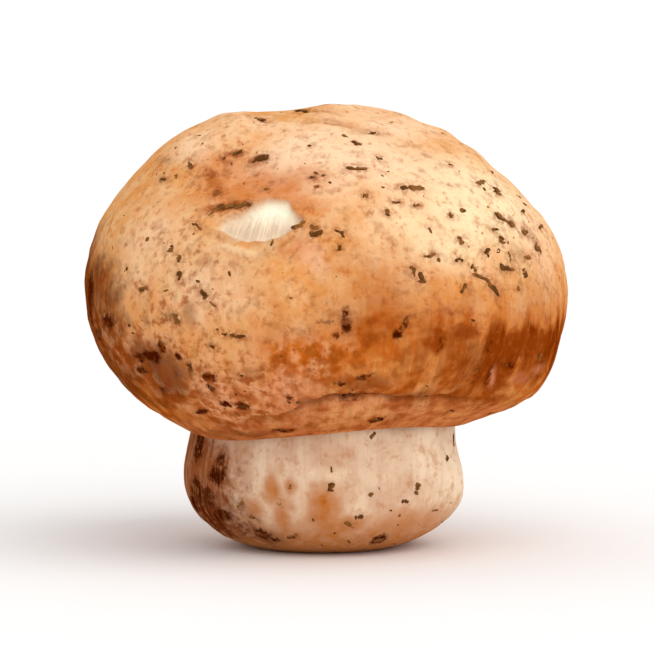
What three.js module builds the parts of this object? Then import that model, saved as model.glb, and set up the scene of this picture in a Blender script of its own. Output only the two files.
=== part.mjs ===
// A closed-cup brown mushroom (Agaricus bisporus, sold as cremini, chestnut or baby portobello), as
// picked, with its stem trimmed flat so that it stands. Millimetres, +Z up, front towards -Y and right
// towards +X. The origin is the middle of the stem's cut foot.
//
// The two meshes are the pieces that it snaps into: the cap, whose margin is still rolled in against
// the stem, and the stem, whose rounded top sits in a shallow socket under the cap with a small gap all
// round.

import * as THREE from "three";

// ---- Driving dimensions

const CAP_WIDTH = 50; // across the widest part, along X
const CAP_DEPTH = 48.6; // the same, along Y
const CROWN_Z = 44.7; // top of the cap, without its swellings
const WIDEST_Z = 25.8; // height at which the cap is widest
const UNDER_DEPTH = 16.4; // how far the cap's lower curve would reach below its widest part
const MARGIN_TURN = THREE.MathUtils.degToRad(53); // how far round the lower curve the margin rolls in
const LIP = 0.7; // radius of the rolled-in edge of the margin

const BULGE_RADIUS = 14.35; // stem at its thickest
const BULGE_Z = 8.3;
const FOOT_RADIUS = 7.3; // flat cut face that it stands on
const HEEL_SQUARENESS = 2.6; // 2 rounds the stem's heel as an ellipse, and more makes it squarer
const STEM_TOP_Z = 15.6;
const GAP = 0.35; // between the stem and its socket

const AZIMUTH_STEPS = 96;
const SKIN_STEPS = 22; // from the crown to the widest part
const UNDER_STEPS = 14; // from there to the margin
const HEEL_STEPS = 9;
const NECK_STEPS = 5;
const SMALL_STEPS = 4; // round the lip, and over the socket's ceiling and the stem's top

// ---- Irregular growth
//
// turn is the angle from the front towards the right, in degrees, across the distance from the axis,
// and height the height above the foot. A swelling pushes the skin out round one point, or in where
// push is negative, and reach is how far it spreads. A groove is pressed in along the line between two
// points.

const CAP_SWELLINGS = [
  { name: "rear lobe of the crown", turn: 120, across: 7, height: 44.5, reach: 7, push: 1.1 },
  { name: "left shoulder", turn: -80, across: 12.5, height: 42, reach: 8, push: 1.4 },
  { name: "right of the crown", turn: 85, across: 12, height: 42.5, reach: 4, push: -0.4 },
  { name: "right shoulder", turn: 85, across: 20, height: 37, reach: 4, push: -0.5 },
  { name: "right flank", turn: 90, across: 25, height: 28.5, reach: 7, push: 0.3 },
  { name: "left flank", turn: -90, across: 25, height: 24.5, reach: 7, push: -0.45 },
  { name: "hollow above the nick", turn: -28, across: 16, height: 38.5, reach: 4.5, push: -1.2 },
  { name: "right cheek", turn: 78, across: 21, height: 15.5, reach: 6, push: 1.7 },
  { name: "rear dent", turn: 175, across: 24, height: 30, reach: 7, push: -0.8 },
  { name: "rear left swelling", turn: -130, across: 25, height: 27, reach: 9, push: 0.6 },
];

const CAP_GROOVES = [
  {
    name: "valley before the rear lobe",
    from: { turn: 175, across: 6, height: 45 },
    to: { turn: 48, across: 13, height: 42.5 },
    width: 2.2,
    depth: 0.55,
  },
  {
    name: "nick in the skin",
    from: { turn: -26, across: 20.5, height: 35 },
    to: { turn: -8, across: 21, height: 35.3 },
    width: 1.9,
    depth: 0.7,
  },
  {
    name: "fold above the margin",
    from: { turn: 0, across: 21.5, height: 17.3 },
    to: { turn: 40, across: 21.5, height: 17.6 },
    width: 1.7,
    depth: 0.7,
  },
];

// How far the margin rises, or falls where lift is negative, round the angle that each names.
const MARGIN_WAVES = [
  { turn: 28, spread: 34, lift: 0.8 },
  { turn: -44, spread: 24, lift: -0.7 },
  { turn: 120, spread: 40, lift: 0.3 },
  { turn: -150, spread: 30, lift: -0.3 },
];

const STEM_SWELLINGS = [
  { name: "right heel", turn: 85, across: 14, height: 5, reach: 4, push: 0.4 },
  { name: "right of the neck", turn: 85, across: 14, height: 10.5, reach: 3, push: -0.5 },
  { name: "left flank", turn: -85, across: 14, height: 8, reach: 5, push: 0.15 },
  { name: "rear hollow", turn: 160, across: 14, height: 7, reach: 5, push: -0.6 },
  { name: "front hollow", turn: 15, across: 14, height: 8, reach: 4, push: -0.3 },
];

// ---- Shaping

const SMALLEST = 0.01; // tells one ring of vertices from the next

const smooth = (x, low, high) => THREE.MathUtils.smoothstep(x, low, high);
const bell = (x) => Math.exp(-x * x);

function pointAt({ turn, across, height }) {
  const angle = THREE.MathUtils.degToRad(turn);
  return new THREE.Vector3(across * Math.sin(angle), -across * Math.cos(angle), height);
}

function swellingAt(point, swellings) {
  return swellings.reduce((sum, s) => sum + s.push * bell(point.distanceTo(pointAt(s)) / s.reach), 0);
}

function grooveAt(point, grooves) {
  return grooves.reduce((sum, groove) => {
    const line = new THREE.Line3(pointAt(groove.from), pointAt(groove.to));
    const nearest = line.closestPointToPoint(point, true, new THREE.Vector3());
    return sum - groove.depth * bell(point.distanceTo(nearest) / groove.width);
  }, 0);
}

// How far the margin is lifted at an angle from the front, in degrees.
function marginLift(turn) {
  return MARGIN_WAVES.reduce((sum, wave) => {
    const apart = THREE.MathUtils.euclideanModulo(turn - wave.turn + 180, 360) - 180;
    return sum + wave.lift * bell(apart / wave.spread);
  }, 0);
}

// A closed solid of revolution about Z whose vertices are then moved one by one.
function grown(profile, move) {
  const geometry = new THREE.LatheGeometry(profile, AZIMUTH_STEPS);
  geometry.rotateX(Math.PI / 2);
  const positions = geometry.getAttribute("position");
  const point = new THREE.Vector3();
  for (let i = 0; i < positions.count; i++) {
    point.fromBufferAttribute(positions, i);
    move(point);
    positions.setXYZ(i, point.x, point.y, point.z);
  }
  geometry.computeVertexNormals();
  return geometry;
}

// ---- Cap

// The lower curve ends where it has turned through MARGIN_TURN. The lip's centre lies one lip radius
// inside that point, so the skin rolls into the lip without a crease.
const CAP_RADIUS = CAP_WIDTH / 2;
const curveEnd = new THREE.Vector2(
  CAP_RADIUS * Math.cos(MARGIN_TURN),
  WIDEST_Z - UNDER_DEPTH * Math.sin(MARGIN_TURN),
);
const curveNormal = new THREE.Vector2(
  Math.cos(MARGIN_TURN) / CAP_RADIUS,
  -Math.sin(MARGIN_TURN) / UNDER_DEPTH,
).normalize();
const lipCentre = curveEnd.clone().addScaledVector(curveNormal, -LIP);
const MARGIN_Z = lipCentre.y - LIP;

// The socket has an upright wall, and a domed ceiling that follows the stem's top at a distance.
const SOCKET_RADIUS = lipCentre.x - LIP;
const SOCKET_EDGE_Z = STEM_TOP_Z - 1;
const CEILING_Z = STEM_TOP_Z + 1.5 * GAP;
const TOP_SHOULDER = { share: 0.6, drop: 0.45 }; // where both domes turn down, as a share of the radius

// The relief grows to full strength over RELIEF_REACH outside the lip and above the socket, so both
// stay round.
const RELIEF_REACH = 6;
const RELIEF_FROM_Z = STEM_TOP_Z + 1.4;

// The margin's waves move the lip by their full lift and leave the cap's widest part where it is.
const LIFT_FULL_Z = MARGIN_Z + 1;
const LIFT_NONE_Z = WIDEST_Z - 4;

function domePoints(radius, edgeZ, topZ) {
  return new THREE.SplineCurve([
    new THREE.Vector2(radius, edgeZ),
    new THREE.Vector2(radius * TOP_SHOULDER.share, topZ - TOP_SHOULDER.drop),
    new THREE.Vector2(0, topZ),
  ]).getPoints(SMALL_STEPS);
}

// Half section of the cap, listed from the crown down the skin, round the margin's lip and up into the
// socket, and returned the other way round, so that the solid faces outwards.
function capProfile() {
  const skin = new THREE.Path();
  skin.absellipse(0, WIDEST_Z, CAP_RADIUS, CROWN_Z - WIDEST_Z, Math.PI / 2, 0, true);
  const under = new THREE.Path();
  under.absellipse(0, WIDEST_Z, CAP_RADIUS, UNDER_DEPTH, 0, -MARGIN_TURN, true);
  const lip = new THREE.Path();
  lip.absarc(lipCentre.x, lipCentre.y, LIP, curveNormal.angle(), Math.PI, true);
  return [
    ...skin.getSpacedPoints(SKIN_STEPS),
    ...under.getSpacedPoints(UNDER_STEPS).slice(1),
    ...lip.getSpacedPoints(SMALL_STEPS).slice(1),
    ...domePoints(SOCKET_RADIUS, SOCKET_EDGE_Z, CEILING_Z),
  ].reverse();
}

function shapeCap(point) {
  const across = Math.hypot(point.x, point.y);
  const turn = THREE.MathUtils.radToDeg(Math.atan2(point.x, -point.y));
  const aboveLip = point.z > lipCentre.y + SMALLEST;
  const inSocket = aboveLip && point.z < RELIEF_FROM_Z && across < SOCKET_RADIUS + SMALLEST;
  if (inSocket) {
    return;
  }
  const onSkin = Math.max(
    smooth(across, curveEnd.x - LIP, curveEnd.x - LIP + RELIEF_REACH),
    smooth(point.z, RELIEF_FROM_Z, RELIEF_FROM_Z + RELIEF_REACH),
  );
  const outward = point.clone().sub(new THREE.Vector3(0, 0, WIDEST_Z)).normalize();
  const relief = swellingAt(point, CAP_SWELLINGS) + grooveAt(point, CAP_GROOVES);
  const lift = (1 - smooth(point.z, LIFT_FULL_Z, LIFT_NONE_Z)) * marginLift(turn);
  point.addScaledVector(outward, onSkin * relief);
  point.y *= 1 + onSkin * (CAP_DEPTH / CAP_WIDTH - 1);
  point.z += lift;
}

// ---- Stem

// The neck is upright where it passes the margin, and slimmer than the socket by the gap.
const NECK_RADIUS = SOCKET_RADIUS - GAP;
const NECK_LOW_Z = MARGIN_Z - 0.8;
const NECK_TOP_Z = SOCKET_EDGE_Z - 0.6;

// The swellings leave the foot flat and the neck round.
const HEEL_FREE_Z = 2.5;
const NECK_FREE_Z = NECK_LOW_Z - 2;

// Half section of the heel, a quarter of a superellipse cut off level at the foot, from the foot's edge
// out and up to the bulge.
function heelCurve() {
  const n = HEEL_SQUARENESS;
  const footShare = (FOOT_RADIUS / BULGE_RADIUS) ** n;
  const depth = BULGE_Z / (1 - footShare) ** (1 / n);
  const start = Math.acos(Math.sqrt(footShare));
  return Array.from({ length: HEEL_STEPS + 1 }, (_, i) => {
    const angle = start * (1 - i / HEEL_STEPS);
    const across = BULGE_RADIUS * Math.cos(angle) ** (2 / n);
    const below = depth * Math.sin(angle) ** (2 / n);
    return new THREE.Vector2(across, Math.max(0, BULGE_Z - below));
  });
}

// Half section of the stem, from the middle of the foot out and up to the middle of its rounded top.
function stemProfile() {
  const neck = new THREE.SplineCurve([
    new THREE.Vector2(BULGE_RADIUS, BULGE_Z),
    new THREE.Vector2((BULGE_RADIUS + NECK_RADIUS) / 2, (BULGE_Z + NECK_LOW_Z) / 2),
    new THREE.Vector2(NECK_RADIUS, NECK_LOW_Z),
    new THREE.Vector2(NECK_RADIUS, NECK_TOP_Z),
  ]);
  return [
    new THREE.Vector2(0, 0),
    ...heelCurve(),
    ...neck.getPoints(NECK_STEPS).slice(1),
    ...domePoints(NECK_RADIUS, NECK_TOP_Z, STEM_TOP_Z).slice(1),
  ];
}

function shapeStem(point) {
  const free = smooth(point.z, 0, HEEL_FREE_Z) * (1 - smooth(point.z, NECK_FREE_Z, NECK_LOW_Z));
  const outward = new THREE.Vector3(point.x, point.y, 0).normalize();
  point.addScaledVector(outward, free * swellingAt(point, STEM_SWELLINGS));
}

// ---- The mushroom

function piece(name, geometry, color, roughness) {
  const material = new THREE.MeshStandardMaterial({ color, roughness, metalness: 0 });
  const mesh = new THREE.Mesh(geometry, material);
  mesh.name = name;
  return mesh;
}

const mushroom = new THREE.Group();
mushroom.name = "mushroom";
mushroom.add(piece("cap", grown(capProfile(), shapeCap), 0xc98f5c, 0.6));
mushroom.add(piece("stem", grown(stemProfile(), shapeStem), 0xe3cdb6, 0.8));

export default mushroom;
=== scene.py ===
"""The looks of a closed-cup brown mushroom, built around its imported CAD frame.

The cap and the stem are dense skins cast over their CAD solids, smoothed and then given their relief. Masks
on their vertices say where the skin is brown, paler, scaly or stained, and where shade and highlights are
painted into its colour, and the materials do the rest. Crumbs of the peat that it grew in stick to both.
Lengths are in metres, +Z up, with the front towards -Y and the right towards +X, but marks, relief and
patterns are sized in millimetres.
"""

import itertools
import math
from collections import namedtuple

import bmesh
import bpy
import numpy as np
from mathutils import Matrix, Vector
from mathutils.bvhtree import BVHTree


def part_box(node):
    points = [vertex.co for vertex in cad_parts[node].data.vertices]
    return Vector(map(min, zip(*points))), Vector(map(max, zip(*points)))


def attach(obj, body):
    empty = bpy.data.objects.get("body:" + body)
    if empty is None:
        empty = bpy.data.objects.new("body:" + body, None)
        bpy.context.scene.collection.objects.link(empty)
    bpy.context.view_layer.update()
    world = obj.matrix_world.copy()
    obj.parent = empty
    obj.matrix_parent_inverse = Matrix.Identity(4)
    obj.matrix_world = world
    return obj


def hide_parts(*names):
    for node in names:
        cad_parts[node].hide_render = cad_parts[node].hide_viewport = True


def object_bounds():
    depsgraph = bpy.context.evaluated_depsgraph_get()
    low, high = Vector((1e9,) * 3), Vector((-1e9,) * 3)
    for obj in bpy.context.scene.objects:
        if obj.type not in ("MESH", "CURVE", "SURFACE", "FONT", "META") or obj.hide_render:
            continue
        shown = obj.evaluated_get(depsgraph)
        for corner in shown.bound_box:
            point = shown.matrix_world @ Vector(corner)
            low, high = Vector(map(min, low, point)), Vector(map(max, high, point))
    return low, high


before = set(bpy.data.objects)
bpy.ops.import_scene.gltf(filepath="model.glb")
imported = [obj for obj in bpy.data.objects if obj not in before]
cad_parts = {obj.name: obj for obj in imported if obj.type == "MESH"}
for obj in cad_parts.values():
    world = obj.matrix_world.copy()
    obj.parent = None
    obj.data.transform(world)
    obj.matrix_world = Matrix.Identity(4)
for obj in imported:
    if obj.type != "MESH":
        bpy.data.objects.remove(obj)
cad_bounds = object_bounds()

# ---- Driving values

MM = 0.001
SEED = 11  # each pattern adds a number of its own to it

CAP_COLUMNS = 424
CAP_ROWS = 224
STEM_COLUMNS = 336
STEM_ROWS = 150
CROWDING = 0.4  # how far the columns are crowded towards the front, from 0 to 1
LEAST_SEEN = 0.4  # no mark is stretched more than this foreshortening asks
RAY_START = 100 * MM  # from a node's centre, well outside the node

CAMERA_RISE = math.radians(5)
CAMERA_DISTANCE = 0.6
MUSHROOM_SHARE = 0.74  # of the picture's width

# A place on a skin. turn is in degrees from the front towards the right, and up is the share of the node's
# height. wide and high are in millimetres, as seen from the front or the back, and lean, in degrees, raises
# the right end.
Mark = namedtuple("Mark", "turn up wide high lean", defaults=(0,))


# ---- Numbers that vary over a surface


def smooth(x, low, high):
    t = np.clip((x - low) / (high - low), 0, 1)
    return t * t * (3 - 2 * t)


def bell(x):
    return np.exp(-x * x)


def noise(points, size, seed):
    """Gradient noise from about -1 to 1 that changes over about size, one number for each point."""
    random = np.random.default_rng(seed)
    table = random.permutation(256)
    gradients = random.normal(size=(256, 3))
    gradients /= np.linalg.norm(gradients, axis=1, keepdims=True)
    spot = points / size
    cell = np.floor(spot).astype(int)
    part = spot - cell
    fade = part**3 * (part * (part * 6 - 15) + 10)
    total = np.zeros(points.shape[:-1])
    for corner in itertools.product((0, 1), repeat=3):
        x, y, z = np.moveaxis((cell + corner) % 256, -1, 0)
        key = table[(table[(table[x] + y) % 256] + z) % 256]
        weight = np.prod(np.where(corner, fade, 1 - fade), axis=-1)
        total += weight * np.sum(gradients[key] * (part - corner), axis=-1)
    return 1.5 * total


def layered_noise(points, size, seed, layers=4):
    """Noise whose layers halve in size and in strength."""
    return sum(noise(points, size / 2**layer, seed + layer) / 2**layer for layer in range(layers))


def blur(values, steps, axis, mode):
    """A Gaussian blur of that many steps along one axis of a grid."""
    reach = int(3 * steps)
    weights = bell(np.arange(-reach, reach + 1) / (math.sqrt(2) * steps))
    weights /= weights.sum()
    padding = [(0, 0)] * values.ndim
    padding[axis] = (reach, reach)
    padded = np.pad(values, padding, mode=mode)
    length = values.shape[axis]
    windows = (range(start, start + length) for start in range(len(weights)))
    return sum(weight * np.take(padded, window, axis=axis) for weight, window in zip(weights, windows))


# ---- Skins: rings of points round a CAD node, from the top down


class Skin:
    """points holds one ring in each row, which starts at the back and goes by the left to the front."""

    def __init__(self, node, columns, rows, centre_up, end_at):
        self.low, self.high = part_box(node)
        self.centre = Vector((0, 0, self.low.z + centre_up * (self.high.z - self.low.z)))
        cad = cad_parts[node].data
        corners = [vertex.co for vertex in cad.vertices]
        self.tree = BVHTree.FromPolygons(corners, [face.vertices for face in cad.polygons])
        even = np.linspace(-math.pi, math.pi, columns, endpoint=False)
        self.turns = even - CROWDING * np.sin(even)
        self.points = np.empty((rows, columns, 3))
        for column, turn in enumerate(self.turns):
            for row, fall in enumerate(np.linspace(0, end_at(self, turn), rows + 1)[1:]):
                self.points[row, column] = self.look(turn, fall)
        self.update()

    def look(self, turn, fall):
        """The node's first point on the way in to the centre. fall is the angle down from straight up."""
        across = math.sin(fall)
        outward = Vector((math.sin(turn) * across, -math.cos(turn) * across, math.cos(fall)))
        return self.tree.ray_cast(self.centre + outward * RAY_START, -outward)[0]

    def update(self):
        """Works the normals out again, and the places that follow from the points."""
        along = np.roll(self.points, -1, axis=1) - np.roll(self.points, 1, axis=1)
        down = np.gradient(self.points, axis=0)
        normals = np.cross(down, along)
        self.normals = normals / np.linalg.norm(normals, axis=-1, keepdims=True)
        self.up = (self.points[..., 2] - self.low.z) / (self.high.z - self.low.z)
        self.turn = np.degrees(np.arctan2(self.points[..., 0], -self.points[..., 1]))

    def soften(self, column_steps, row_steps, keep_last=0):
        """Rounds the facets off, apart from the last rows, which keep their section."""
        round_about = blur(self.points, column_steps, 1, "wrap")
        both = blur(round_about, row_steps, 0, "edge")
        rows = np.arange(len(self.points))[:, None, None]
        last = len(self.points) - keep_last
        share = smooth(rows, last - 2 * row_steps, last) if keep_last else 0
        self.points = both * (1 - share) + round_about * share
        self.update()

    def push(self, amount):
        """Moves the skin out by that many millimetres."""
        self.points = self.points + self.normals * amount[..., None] * MM
        self.update()

    def place(self, mark):
        """The point at a mark, the directions along it, across it and out of it, and its size on the skin."""
        column = np.argmin(np.abs(np.degrees(self.turns) - mark.turn))
        row = np.argmin(np.abs(self.up[:, column] - mark.up))
        out = self.normals[row, column]
        turn = self.turns[column]
        right = np.array((math.cos(turn), math.sin(turn), 0))
        rise = np.cross(out, right)
        lean = math.radians(mark.lean)
        along = right * math.cos(lean) + rise * math.sin(lean)
        across = np.cross(out, along)
        wide = mark.wide / max(LEAST_SEEN, math.hypot(along[0], along[2]))
        high = mark.high / max(LEAST_SEEN, math.hypot(across[0], across[2]))
        return self.points[row, column], (along, across, out), (wide, high)

    def covered(self, mark, soft=0.5, ragged=0.25, pointed=False):
        """1 inside the mark and 0 outside, with an edge as soft and ragged as given.

        The mark is an ellipse or, where it is pointed, a lens.
        """
        middle, directions, (wide, high) = self.place(mark)
        along, across, out = np.moveaxis((self.points - middle) @ np.transpose(directions) / MM, -1, 0)
        if pointed:
            distance = (2 * along / wide) ** 2 + np.abs(2 * across / high) + (2 * out / wide) ** 2
        else:
            distance = 2 * np.sqrt((along / wide) ** 2 + (across / high) ** 2 + (out / max(wide, high)) ** 2)
        near = distance < 3
        size = min(wide, high) * 0.5 * MM
        distance[near] += ragged * layered_noise(self.points[near], size, SEED + int(180 + mark.turn), 3)
        return 1 - smooth(distance, 1 - soft, 1 + soft)

    def covered_by(self, marks, soft=0.5, ragged=0.25):
        """The same for several marks, each with the strength that it is listed with."""
        total = np.zeros(self.up.shape)
        for strength, mark in marks:
            total = np.maximum(total, strength * self.covered(mark, soft, ragged))
        return total


def interpolate(turn, stops):
    """A value for each turn from (turn, value) stops that go once round."""
    turns, values = zip(*stops)
    return np.interp(turn, turns, values, period=360)


# ---- Cap

STEM_REACH, _, STEM_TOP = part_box("stem")[1]
LIP_REACH = STEM_REACH - 1.2 * MM  # the lip lies farther out than this
LIP_HEIGHT = 5 * MM  # and lower than this over the cap's lowest point
HALVINGS = 14


def margin_fall(skin, turn):
    """How far down the skin is seen from the centre: to the inner side of the margin's lip."""
    low, high = math.radians(115), math.radians(145)
    for _ in range(HALVINGS):
        middle = (low + high) / 2
        hit = skin.look(turn, middle)
        on_lip = hit is not None and hit.xy.length > LIP_REACH and hit.z < skin.low.z + LIP_HEIGHT
        low, high = (middle, high) if on_lip else (low, middle)
    return low


cap = Skin("cap", CAP_COLUMNS, CAP_ROWS, centre_up=0.42, end_at=margin_fall)
cap.soften(column_steps=4.4, row_steps=3.4, keep_last=16)

# The skin's relief, in millimetres. Positive marks stand out.
CAP_RELIEF = [
    (0.5, Mark(-60, 0.9, 6.5, 6)),
    (-0.5, Mark(-31, 0.82, 10, 2.6, 10)),
    (0.3, Mark(-20, 0.57, 11, 4.6)),
    (0.25, Mark(12, 0.8, 12, 3.6)),
    (0.5, Mark(62, 0.93, 4.5, 4.4, -20)),
    (0.4, Mark(80, 0.86, 3.6, 4.5)),
    (-0.3, Mark(-2, 0.62, 5, 5)),
    (0.35, Mark(64, 0.19, 3, 4.5)),
    (-0.4, Mark(50, 0.2, 1.6, 4.5)),
    (-0.3, Mark(-46, 0.26, 4, 4)),
    (-0.3, Mark(19, 0.37, 3, 4, 60)),
    (-0.35, Mark(5, 0.38, 3, 4)),
    (0.3, Mark(-24, 0.22, 9, 5.5)),
    (-0.3, Mark(130, 0.45, 6, 7)),
    (0.3, Mark(-140, 0.35, 9, 8)),
    (-0.25, Mark(165, 0.75, 8, 4.5)),
    (0.3, Mark(-100, 0.68, 4, 8)),
    (0.3, Mark(-64, 0.965, 4, 2.4)),
    (0.4, Mark(96, 0.915, 3, 3)),
    (-0.2, Mark(92, 0.83, 3, 3)),
    (0.2, Mark(83, 0.66, 2, 3)),
    (0.45, Mark(75, 0.997, 5, 5)),
    (0.35, Mark(-85, 0.978, 6, 3.5)),
]

# The nick, where the skin is torn open over white flesh, and the fold of skin that stands up below it.
NICK = Mark(-17.1, 0.688, 8.6, 3.5, 9)
NICK_RIM = Mark(-17.1, 0.688, 9.8, 5.4, 9)
NICK_CORE = Mark(-14.6, 0.712, 5, 2.2, 8)
# NICK_FLOOR marks where the flesh is painted in shadow, in the nick's lower part.
NICK_FLOOR = Mark(-19, 0.656, 8, 2.4, 4)
NICK_FOLD = Mark(-21, 0.603, 4.4, 0.7, -12)

# The crease along which the rolled-in margin folds, as (turn, up) stops, and how deep it is at each.
CREASE = [(-180, 0.1), (-60, 0.06), (-14, 0.09), (-6, 0.14), (4, 0.17), (14, 0.17), (26, 0.155),
          (40, 0.145), (70, 0.1)]
CREASE_DEPTH = [(-180, 0.1), (-30, 0.1), (-12, 0.5), (5, 1), (20, 0.9), (42, 0.4), (60, 0.1)]

# How far these stand out or are sunk, in millimetres.
OVERHANG_RISE = 0.6  # the skin just above the crease
CREASE_CUT = 0.7
VALLEY_CUT = 0.4
WRINKLE_HEIGHT = 0.26
NICK_CUT = 0.8
NICK_GRAIN = 0.12
RIM_RISE = 0.2
FOLD_RISE = 0.35

# The valley that parts the crown's rear lobe from the rest.
VALLEY = [Mark(-30, 0.995, 5, 0.6), Mark(15, 0.966, 5, 0.6, -22), Mark(31, 0.944, 4, 0.7, -26)]

# Where the skin is wrinkled and breaks up into scales.
SCALY = [
    (1.0, Mark(-26, 0.18, 13, 8)),
    (0.7, Mark(-6, 0.27, 9, 6)),
    (0.8, Mark(-46, 0.3, 6, 9)),
    (0.4, Mark(-60, 0.3, 6, 8)),
    (0.3, Mark(60, 0.6, 5, 8)),
    (0.4, Mark(-35, 0.5, 9, 10)),
    (0.4, Mark(12, 0.14, 14, 5)),
    (0.7, Mark(-160, 0.25, 16, 8)),
    (0.7, Mark(110, 0.22, 5, 7)),
]


def grow_cap():
    """Gives the cap its relief and returns the masks that follow from it."""
    # It dies out over the last rows, on the lip's inner side.
    fade = 1 - smooth(np.arange(CAP_ROWS), CAP_ROWS - 14, CAP_ROWS - 2)[:, None]
    for height, mark in CAP_RELIEF:
        cap.push(height * fade * cap.covered(mark, soft=0.9, ragged=0.1))
    swells = 0.16 * layered_noise(cap.points, 8 * MM, SEED)
    lumps = 0.06 * layered_noise(cap.points, 2.4 * MM, SEED + 5, 3)
    cap.push((swells + lumps) * (0.2 + 0.8 * fade))

    valley = cap.covered_by([(1, mark) for mark in VALLEY], soft=0.9, ragged=0.2)
    cap.push(-VALLEY_CUT * valley)

    crease_up = interpolate(cap.turn, CREASE) + 0.012 * noise(cap.points, 2.5 * MM, SEED + 20)
    above = (cap.up - crease_up) * (cap.high.z - cap.low.z) / MM
    depth = interpolate(cap.turn, CREASE_DEPTH) * fade
    overhang = smooth(above, 0, 0.5) * (1 - smooth(above, 0.5, 4)) * depth
    crease = bell(above / 0.35) * depth
    cap.push(OVERHANG_RISE * overhang - CREASE_CUT * crease)

    scaly = cap.covered_by(SCALY, soft=0.7, ragged=0.5) * fade
    wrinkles = layered_noise(cap.points * (1, 1, 0.6), 1.3 * MM, SEED + 60, 3)
    cap.push(WRINKLE_HEIGHT * scaly * wrinkles)

    flesh = cap.covered(NICK, soft=0.22, ragged=0.28, pointed=True)
    rim = cap.covered(NICK_RIM, soft=0.3, pointed=True)
    fold = cap.covered(NICK_FOLD, soft=0.7)
    grain = NICK_GRAIN * flesh * noise(cap.points, 0.9 * MM, SEED + 30)
    cap.push(RIM_RISE * rim + FOLD_RISE * fold - NICK_CUT * flesh + grain)
    return {
        "valley": valley,
        "crease": crease,
        "scaly": scaly,
        "flesh": flesh,
        "torn_edge_and_shade": 4 * flesh * (1 - flesh) * rim,
        "core": cap.covered(NICK_CORE, soft=0.8),
        "nick_shadow": cap.covered(NICK_FLOOR, soft=0.8),
        "fold": fold,
    }


cap_masks = grow_cap()

# ---- Stem

STEM_FALL = math.radians(179.2)  # nearly to the middle of the foot

stem = Skin("stem", STEM_COLUMNS, STEM_ROWS, centre_up=0.48, end_at=lambda skin, turn: STEM_FALL)
stem.soften(column_steps=3.6, row_steps=1.6)


def grow_stem():
    """Gives the stem its relief, which leaves the foot flat and on the ground."""
    free = smooth(stem.up, 0, 0.08) * (1 - smooth(stem.up, 0.78, 0.84))
    ribs = stem.points * (1, 1, 0.18)
    lumps = 0.12 * layered_noise(stem.points, 6 * MM, SEED + 70)
    stem.push(free * (lumps + 0.09 * layered_noise(ribs, 1.6 * MM, SEED + 75, 3)))
    stem.points[..., 2] = np.maximum(stem.points[..., 2], 0)
    stem.update()


grow_stem()

# ---- Where the colours lie

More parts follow.
